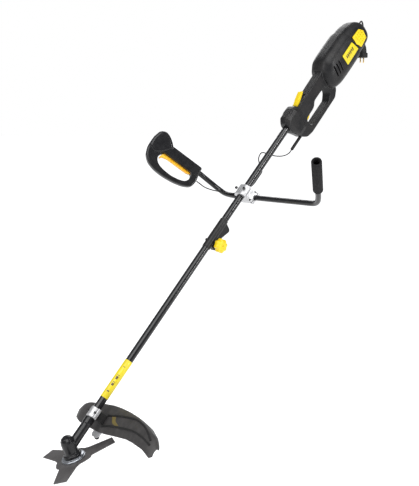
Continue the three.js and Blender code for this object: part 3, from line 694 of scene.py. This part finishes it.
def build_plates():
    for name, side in (("left", -1), ("right", 1)):
        panel = prism("vent_panel_" + name, fillet(vent_outline(), 2), 50.6, 54.6)
        bevel(panel, 0.8, 2)
        for row in range(4):
            for column in range(4):
                hole = lathe("hole", [(0, 0), (0, 1.9), (9, 1.9), (9, 0)], 16)
                moved(hole, Matrix.Translation((728 + 11 * column + 2 * row, 48, 14 - 11.5 * row)) @ TO_Y)
                cut(panel, hole)
        if side < 0:
            moved(panel, Matrix.Scale(-1, 4, (0, 1, 0)))
        piece(panel, TOOL, LOOKS["yellow"], ["side_vent_" + name])
    plate = prism("name_plate", fillet([(626, 16), (697, 17), (709, -24), (627, -26)], 3), -56.6, -55)
    bevel(plate, 0.3, 2)
    piece(plate, TOOL, LOOKS["film"], ["rating_plate"])
    for i in range(6):
        low = 640 + 8.5 * i
        bar = prism("plate_mark_%d" % i, [(low, -7 - 3 * (i % 2)), (low + 5.5, -7), (low + 5.5, 4), (low, 4)], -56.9, -56.4)
        piece(bar, TOOL, LOOKS["ink"])


def build_triggers():
    outline = [(424, -31), (420, -41), (404, -45), (392, -52), (382, -53), (378, -48), (382, -41), (392, -36),
               (400, -27), (420, -25)]
    trigger = prism("finger_trigger", fillet(outline, 4), -6.7, 6.7)
    bevel(trigger, 1.8)
    piece(trigger, TOOL, LOOKS["yellow"], ["trigger"], body="trigger")
    outline = [(372, 21), (382, 20), (398, 24), (424, 34), (430, 36), (431, 40), (426, 42), (400, 36), (376, 27)]
    lock = prism("thumb_lock", fillet(outline, 2), -8.7, 8.7)
    bevel(lock, 1.5)
    piece(lock, TOOL, LOOKS["yellow"], ["lock_off_lever"], body="lock_off_lever")


# ---- drive tube, coupler, clamp -------------------------------------------------


def rod_along_x(name, low, high, radius, steps=64, edge=0.6):
    profile = [(low, 0), (low, radius - edge), (low + edge, radius), (high - edge, radius), (high, radius - edge), (high, 0)]
    return moved(lathe(name, profile, steps), TO_X)


def build_tube():
    for name, low, high in (("upper", -168, 392), ("lower", -935, -168.5)):
        tube = rod_along_x(name + "_drive_tube", low, high, 12)
        piece(tube, TOOL, LOOKS["tube"], [name + "_tube"])
    film = moved(lathe("tube_film", [(-812, 12.1), (-812, 12.5), (-811.6, 12.7), (-680.4, 12.7), (-680, 12.5),
                                     (-680, 12.1), (-812, 12.1)], 64), TO_X)
    piece(film, TOOL, LOOKS["film"], ["shaft_sticker"])
    for i, (low, high) in enumerate(((-792, -788), (-770, -762), (-759, -757), (-748, -738), (-735, -733), (-705, -703))):
        piece(film_mark("film_mark_%d" % (i + 1), low, high, 118, 150), TOOL, LOOKS["ink"])


def film_mark(name, low, high, start, end):
    """A thin printed bar wrapped part of the way round the tube, between two angles in degrees."""
    turn = [math.radians(start + (end - start) * i / 8) for i in range(9)]
    arc = [(r * math.cos(t), r * math.sin(t)) for r, row in ((12.85, turn), (12.6, turn[::-1])) for t in row]
    return prism(name, arc, low, high, "X")


def build_coupler():
    sleeve = rod_along_x("sleeve", -238, -122, 13.9, edge=1.2)
    keel = prism("keel", fillet([(-226, -6), (-224, -32), (-192, -34), (-177, -25), (-141, -36.5), (-134, -31),
                                 (-127, -6)], 2.5), -10, 10)
    body = moulded(merged("coupler_shell", sleeve, bevel(keel, 2.2)), 0.9, 3)
    slit = prism("slit", [(-240, -40), (-184, -40), (-184, 0), (-240, 0)], -0.8, 0.8)
    cut(body, slit, rod_along_x("bore", -300, 0, 12.05))
    piece(body, TOOL, LOOKS["shell"], ["coupler_body"])
    build_knob()
    button = lathe("tube_button", [(9.5, 0), (9.5, 4.9), (17.5, 4.9), (18.8, 3.6), (19, 0)], 32)
    piece(moved(button, Matrix.Translation((-216, 0, 0))), TOOL, LOOKS["rubber"],
          ["locating_button"], body="locating_button")


KNOB_RINGS = [(18, 4, 0), (18, 17, 0.6), (19, 20.5, 1.3), (21.5, 22.3, 1.8), (31, 22.5, 1.8), (35, 21.2, 1.5),
              (38, 18, 0.9), (39.7, 13, 0.3), (40.2, 9, 0), (39.6, 6, 0), (39.4, 2.3, 0), (33, 2.0, 0)]


def build_knob():
    rings = []
    for out, radius, lobe in KNOB_RINGS:
        turn = [2 * math.pi * i / 128 for i in range(128)]
        rings.append([((radius + lobe * math.cos(8 * t)) * math.cos(t), -out,
                       (radius + lobe * math.cos(8 * t)) * math.sin(t)) for t in turn])
    place = TOOL @ Matrix.Translation((-206, 0, -25))
    knob = loft("star_knob", rings)
    piece(knob, place, LOOKS["yellow"], ["coupler_knob"], body="coupler_knob", angle=60)
    neck = moved(lathe("knob_neck", [(15.2, 0), (15.2, 9.5), (17, 11), (18.5, 11), (18.5, 0)], 48), TO_Y)
    piece(moved(neck, Matrix.Scale(-1, 4, (0, 1, 0))), place, LOOKS["yellow"], body="coupler_knob")
    stud = rod_along_x("knob_stud", -8, 17, 4, 32)
    piece(moved(stud, Matrix.Rotation(-math.pi / 2, 4, "Z")), place, LOOKS["steel"], body="coupler_knob")


def build_clamp():
    cap = prism("clamp_top", fillet([(-25, 0.6), (-25, 7), (-14, 18), (14, 18), (25, 7), (25, 0.6)], 5), -20, 20, "X")
    bevel(cap, 3)
    ears = prism("ears", fillet([(-25, 0.6), (-25, 9), (25, 9), (25, 0.6)], 3), -13, 13, "X")
    bevel(ears, 2)
    cast_piece("clamp_lid", [cap, ears], [rod_along_x("bore", -60, 60, 12.1)], ["clamp_cap"])
    middle = prism("middle", fillet([(-26, 0), (-27, -10), (-38, -19), (-38, -25.6), (38, -25.6), (38, -19),
                                     (27, -10), (26, 0)], 4), -15, 15, "X")
    bevel(middle, 2.5)
    pads = [hull("pad", [(x, y, z) for x in (-21, 21) for y in (side * 24, side * 37) for z in (-25.6, -18)])
            for side in (-1, 1)]
    tools = [rod_along_x("bore", -60, 60, 12.1), bar_bore()]
    cast_piece("clamp_block", [middle, *[bevel(p, 3) for p in pads]], tools, ["clamp_middle"])
    base = prism("base", fillet([(-40, -26.4), (-40, -33), (-26, -41), (26, -41), (40, -33), (40, -26.4)], 4), -14, 14, "X")
    bevel(base, 2.5)
    pads = [hull("pad", [(x, y, z) for x in (-21.5, 21.5) for y in (side * 24, side * 39) for z in (-35, -26.4)])
            for side in (-1, 1)]
    cast_piece("clamp_foot", [base, *[bevel(p, 3) for p in pads]], [bar_bore()], ["clamp_base"])
    for i, side in enumerate((-1, 1)):
        screw = socket_screw("cap_screw_%d" % (i + 1), 4.8, 19, 24)
        piece(shifted(screw, y=18.5 * side), TOOL, LOOKS["dark"], ["cap_bolt_%d" % (i + 1)])
        for j, end in enumerate((-1, 1)):
            screw = socket_screw("bar_screw_%d_%d" % (i + 1, j + 1), 3.8, -18.4, -15)
            piece(shifted(screw, x=16 * end, y=31 * side), TOOL, LOOKS["dark"])


def bar_bore():
    return moved(lathe("bar_bore", [(-60, 0), (-60, 9.1), (60, 9.1), (60, 0)], 48), Matrix.Translation((0, 0, -26)) @ TO_Y)


def cast_piece(name, shapes, tools, stands_for):
    body = moulded(merged(name, *shapes), 0.8, 3)
    cut(body, *tools)
    return piece(body, TOOL, LOOKS["cast"], stands_for)


def socket_screw(name, radius, low, high):
    """A cap screw's head with its hexagon socket."""
    head = lathe(name, [(low, 0), (low, radius), (high - 0.6, radius), (high, radius - 0.6), (high, 0)], 32)
    socket = prism("socket", circle(0.58 * radius, 6), high - 0.7 * (high - low), high + 1, "Z")
    return cut(head, socket)


# ---- handlebar ------------------------------------------------------------------


def build_bars():
    left = [(0, -0.4, -26), (0, -120, -26), (0, -240, -26), (0, -286, -26), (0, -305, -22.5), (0, -321, -11),
            (0, -336, 9.5), grip_point(-355, 42, -1, 0), grip_point(-355, 42, -1, 60), grip_point(-355, 42, -1, 118)]
    bar = sweep("bar_left", curve_through(left, 8), circle(9, 32))
    piece(bar, TOOL, LOOKS["tube"], ["left_bar"])
    right = [(0, 0.4, -26), (0, 20, -26), (0, 42, -26), (0, 60, -26), (4, 110, -23), (11, 142, -10), (15, 166, 20),
             (16, 186, 59.6), (16, 196, 76.9), (16, 242, 156.6)]
    bar = sweep("bar_right", curve_through(right, 8), circle(9, 32))
    piece(bar, TOOL, LOOKS["tube"], ["right_bar"])
    foam = lathe("foam_sleeve", [(0, 9.2), (0, 13.5), (1.2, 15.2), (3, 15.5), (147, 15.5), (149, 15), (150, 13.6),
                                 (150, 11.4), (147, 10.4), (138, 10.2), (138, 9.2), (0, 9.2)], 64)
    piece(foam, LEFT_GRIP, LOOKS["foam"], ["foam_grip"])


def grip_point(y, z, side, distance):
    return (0, y + side * distance * 0.5, z + distance * math.cos(math.radians(30)))


def build_control_grip():
    spine = prism("spine", fillet([(16, -6), (16, 118), (4, 134), (-24, 138), (-24, 2), (-12, -9)], 7), -16.5, 16.5)
    hood = prism("hood", fillet([(10, 112), (26, 127), (40, 146), (46, 168), (35, 186), (2, 193), (-32, 190), (-44, 158),
                                 (-26, 136)], 9), -20, 20)
    outline = [(16, -6), (16, 116), (26, 128), (40, 146), (46, 170), (34, 186), (0, 193), (-34, 191), (-66, 178),
               (-84, 156), (-92, 126), (-93, 92), (-88, 50), (-78, 14), (-62, -12), (-34, -16), (-8, -9)]
    loop = prism("loop", fillet(outline, 12), -11, 11)
    body = merged("control_grip", bevel(spine, 9, 4), bevel(hood, 9, 4), bevel(loop, 5, 3))
    moulded(body, 1.0, 10)
    hole = prism("hole", fillet([(-23, 12), (-42, 8), (-60, 16), (-69, 36), (-75, 66), (-74, 100), (-68, 124), (-56, 138),
                                 (-40, 142), (-23, 136)], 8), -30, 30)
    slot = prism("slot", [(-40, 14.5), (-12.6, 14.5), (-12.6, 148), (-40, 148)], -6.1, 6.1)
    bore = lathe("bore", [(-40, 0), (-40, 9.1), (106, 9.1), (106, 0)], 48)
    cut(body, hole, slot, bore)
    for name, node, side in (("grip_half_outer", "control_grip_outer", 1), ("grip_half_inner", "control_grip_inner", -1)):
        piece(half_of(body, name, side), RIGHT_GRIP, LOOKS["gloss"], [node])
    discard(body)
    outline = [(-14, 17), (-24, 15), (-31, 26), (-32, 110), (-37, 128), (-46, 134), (-44, 137), (-28, 134), (-18, 124), (-17, 60)]
    lever = prism("squeeze_lever", fillet(outline, 3), -5.5, 5.5)
    bevel(lever, 1.8)
    piece(lever, RIGHT_GRIP, LOOKS["lever"], ["grip_lever"], body="grip_lever")


# ---- gear head, blade and guard ------------------------------------------------------

GEAR_HEIGHT = 34
NECK_TURN = -math.asin(ALONG.dot(SPIN))


def build_gear_head():
    barrel = lathe("barrel", [(11, 0), (11, 26.5), (12, 27.4), (16, 27.4), (17.5, 26), (19.5, 22.6), (24, 21.3),
                              (40, 21), (54, 21), (62, 19.4), (69, 15), (73.5, 8), (74.8, 0)], 64)
    neck = lathe("neck", [(0, 0), (0, 15.2), (82, 14.4), (84, 15.2), (103, 15.2), (103, 0)], 48)
    moved(neck, Matrix.Translation((0, 0, GEAR_HEIGHT)) @ Matrix.Rotation(NECK_TURN, 4, "Y") @ TO_X)
    body = moulded(merged("gear_casting", barrel, neck), 0.9, 4)
    piece(body, SPINDLE, LOOKS["gloss"], ["gear_housing"])
    flange = lathe("flange_ring", [(1.6, 5.3), (1.6, 35), (2.2, 36), (4.6, 36), (5.1, 35.2), (5.1, 33.6), (5.7, 33), (9.4, 33),
                                   (10, 32.2), (10, 5.3), (1.6, 5.3)], 96)
    piece(flange, SPINDLE, LOOKS["steel"], ["upper_flange"], body="blade_spindle")
    washer = lathe("thrust_washer", [(-1.6, 5.3), (-1.6, 28), (-3.6, 28), (-4.4, 27.2), (-7.6, 20.6), (-8, 19.4), (-8, 5.3),
                                     (-1.6, 5.3)], 64)
    piece(washer, SPINDLE, LOOKS["steel"], ["lower_washer"], body="blade_spindle")


def blade_outline():
    points = []
    for k in range(3):
        for r, angle in ((58, -50), (60, -40), (57, -31), (127.5, -8.2), (127.5, 10.3), (62, 27), (52, 40), (54, 52)):
            t = math.radians(angle + 120 * k - 17)
            points.append((r * math.cos(t), r * math.sin(t)))
    return points


def build_blade():
    blade = prism("cutting_blade", fillet(blade_outline(), 2.5, 3), -1.2, 1.2, "Z")
    bevel(blade, 0.4, 2)
    cut(blade, lathe("arbor", [(-5, 0), (-5, 5.3), (5, 5.3), (5, 0)], 48))
    piece(blade, SPINDLE, LOOKS["blade"], ["blade"], body="blade_spindle")


GUARD_OUTER = [(184, 14), (176, 27), (166, 36), (132, 44), (90, 50), (45, 56), (0, 61), (-45, 62), (-100, 60), (-151, 55),
               (-206, 44), (-250, 27), (-274, 11), (-284, 0)]
GUARD_INNER = [(184, 2), (176, -9), (168, -16), (120, -27), (60, -30), (0, -31), (-44, -29), (-96, -23), (-159, -17),
               (-200, -18), (-245, -22), (-276, -33), (-284, -26)]
GUARD_RIBS = [[(-14, 0.6), (-76, 0.72), (-140, 0.85), (-172, 0.9), (-206, 0.9), (-232, 0.86), (-256, 0.74)],
              [(-14, 0.2), (-55, 0.29), (-111, 0.34), (-175, 0.42), (-222, 0.48), (-262, 0.56)]]


def edge_at(table, y):
    for (y1, x1), (y0, x0) in zip(table, table[1:]):
        if y0 <= y <= y1:
            return x0 + (x1 - x0) * (y - y0) / (y1 - y0)
    return table[-1][1]


def guard_point(y, across, lift=0.0):
    """A point of the guard's upper skin; across runs from the inner edge, 0, to the outer shoulder, 1."""
    inner, outer = edge_at(GUARD_INNER, y), edge_at(GUARD_OUTER, y)
    fall = max(0, (-y - 190) / 94) ** 1.6 * 24 + max(0, (y - 130) / 54) ** 2 * 12
    crown = 3.2 * math.sin(math.pi * min(max(across, 0), 1))
    edge = max(0, across - 0.86) / 0.14
    return Vector((inner + (outer - inner) * across, y, 3 + crown - 3 * edge ** 2 - fall + lift))


def build_guard():
    rings = []
    for k in range(57):
        y = 184 - 468 * k / 56
        top = [guard_point(y, t) for t in (0, 0.02, 0.15, 0.3, 0.45, 0.6, 0.75, 0.86, 0.92, 0.97, 1)]
        foot = top[-1].copy()
        foot.z = min(foot.z - 3, -29.5)
        wall = [top[-1].lerp(foot, t) + Vector((0.6, 0, 0)) for t in (0.12, 0.5, 1)]
        rings.append([*top, *wall])
    shield = loft("guard_shield", rings, closed=False, ends=False)
    thick = shield.modifiers.new("thick", "SOLIDIFY")
    thick.thickness = 3
    thick.offset = -1
    apply_modifiers(shield)
    bevel(shield, 0.8, 2, 50)
    piece(shield, GUARD, LOOKS["guard"], ["guard"], angle=50)
    # Raised ridges along the guard's arc. Their shape is modelled, but their black rubber look, darker than the guard,
    # is painted shade standing in for the shadow at the guard's steps.
    for i, row in enumerate(GUARD_RIBS):
        path = curve_through([guard_point(y, t, 1.2) for y, t in row], 6)
        rib = sweep("guard_rib_%d" % i, path, fillet([(-2.4, -3), (2.4, -3), (2.4, 3), (-2.4, 3)], 2))
        piece(rib, GUARD, LOOKS["rubber"])
    corners = [(-34, 0.62), (-52, 0.66), (-66, 0.5), (-104, 0.33), (-96, 0.28), (-56, 0.4)]
    mark = loft("guard_arrow", [[guard_point(y, t, lift) for y, t in corners] for lift in (-0.4, 0.35)])
    piece(mark, GUARD, LOOKS["marker"])
    build_guard_mount()


def build_guard_mount():
    plate = prism("guard_plate", fillet([(-48, -16), (-40, -24), (22, -24), (22, 24), (-40, 24), (-48, 16)], 4), -3.3, -0.3, "Z")
    bevel(plate, 0.6, 2)
    piece(plate, GUARD, LOOKS["cast"], ["guard_bracket"])
    ring = lathe("cable_ring", [(-3, 4), (-3, 8), (3, 8), (3, 4), (-3, 4)], 32)
    moved(bevel(ring, 1.2, 3), Matrix.Translation((-43, 0, -9)) @ TO_Y)
    piece(ring, GUARD, LOOKS["dark"])
    ears = fillet([(-24.5, -6), (24.5, -6), (24.5, 6), (-24.5, 6)], 3)
    for name, side in (("guard_clamp_upper", 1), ("guard_clamp_lower", -1)):
        shapes = [rod_along_x("ring", -880, -848, 15.6, edge=1.5), bevel(prism("ears", ears, -879.5, -848.5, "X"), 1.5)]
        body = moulded(merged(name + "_casting", *shapes), 0.8, 2)
        low, high = (0.5, 60) if side > 0 else (-60, -0.5)
        cut(body, rod_along_x("bore", -900, -800, 12.05))
        room = prism("room", [(-950, low), (-800, low), (-800, high), (-950, high)], -80, 80)
        cut(body, room, operation="INTERSECT")
        piece(body, LOWER, LOOKS["cast"], [name])
    foot = prism("guard_clamp_foot", fillet([(-15, -41), (15, -41), (11, -16.4), (-11, -16.4)], 2), -878, -850, "X")
    piece(bevel(foot, 1.5), LOWER, LOOKS["rubber"])
    for i, side in enumerate((-1, 1)):
        screw = socket_screw("clamp_screw_%d" % (i + 1), 4, 5.8, 11)
        place = LOWER @ Matrix.Translation((-864, 19.8 * side, 0))
        piece(screw, place, LOOKS["dark"], ["guard_clamp_bolt_%d" % (i + 1)])


# ---- everything ------------------------------------------------------------------------


def add_floor():
    floor = prism("floor", circle(120, 64), -1.35, -1.3, "Z")
    look = Look("pale_floor", (0.9, 0.9, 0.9), 0.9)
    look.tint(look.noise(400), (0.88, 0.88, 0.88), 0.3, 0.7)
    look.set("Emission Color", (1, 1, 1, 1)).set("Emission Strength", 0.4)
    floor.data.materials.append(look.done())


add_camera()
add_lights()
add_world()
bpy.context.scene.view_settings.view_transform = "Standard"
dress_nodes()
build_lead()
build_motor()
build_triggers()
build_tube()
build_coupler()
build_clamp()
build_bars()
build_control_grip()
build_gear_head()
build_blade()
build_guard()
add_floor()
